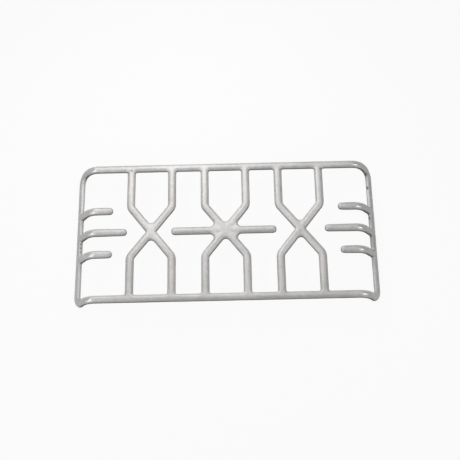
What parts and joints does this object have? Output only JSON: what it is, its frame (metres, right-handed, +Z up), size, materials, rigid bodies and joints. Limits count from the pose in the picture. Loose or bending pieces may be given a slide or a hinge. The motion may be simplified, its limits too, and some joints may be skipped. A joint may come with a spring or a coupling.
{
  "type": "hob pan support",
  "caption": "Cast-iron hob pan support: a long lattice of bent crossing bars with side fingers and a free-ended bridge bar, its ends turned down to low rails that stand on the hob.",
  "frame": {"origin": "middle of the footprint, on the plane the side rails stand on", "axes": "+X along the length from side rail to side rail, +Y to the rear rail, +Z up to the cooking plane"},
  "size_m": [0.4834, 0.2388, 0.0375],
  "materials": {
    "cast_grey": "satin grey, fine cast grain"
  },
  "bodies": {
    "root": {"pan_support": "cast_grey"}
  },
  "joints": []
}
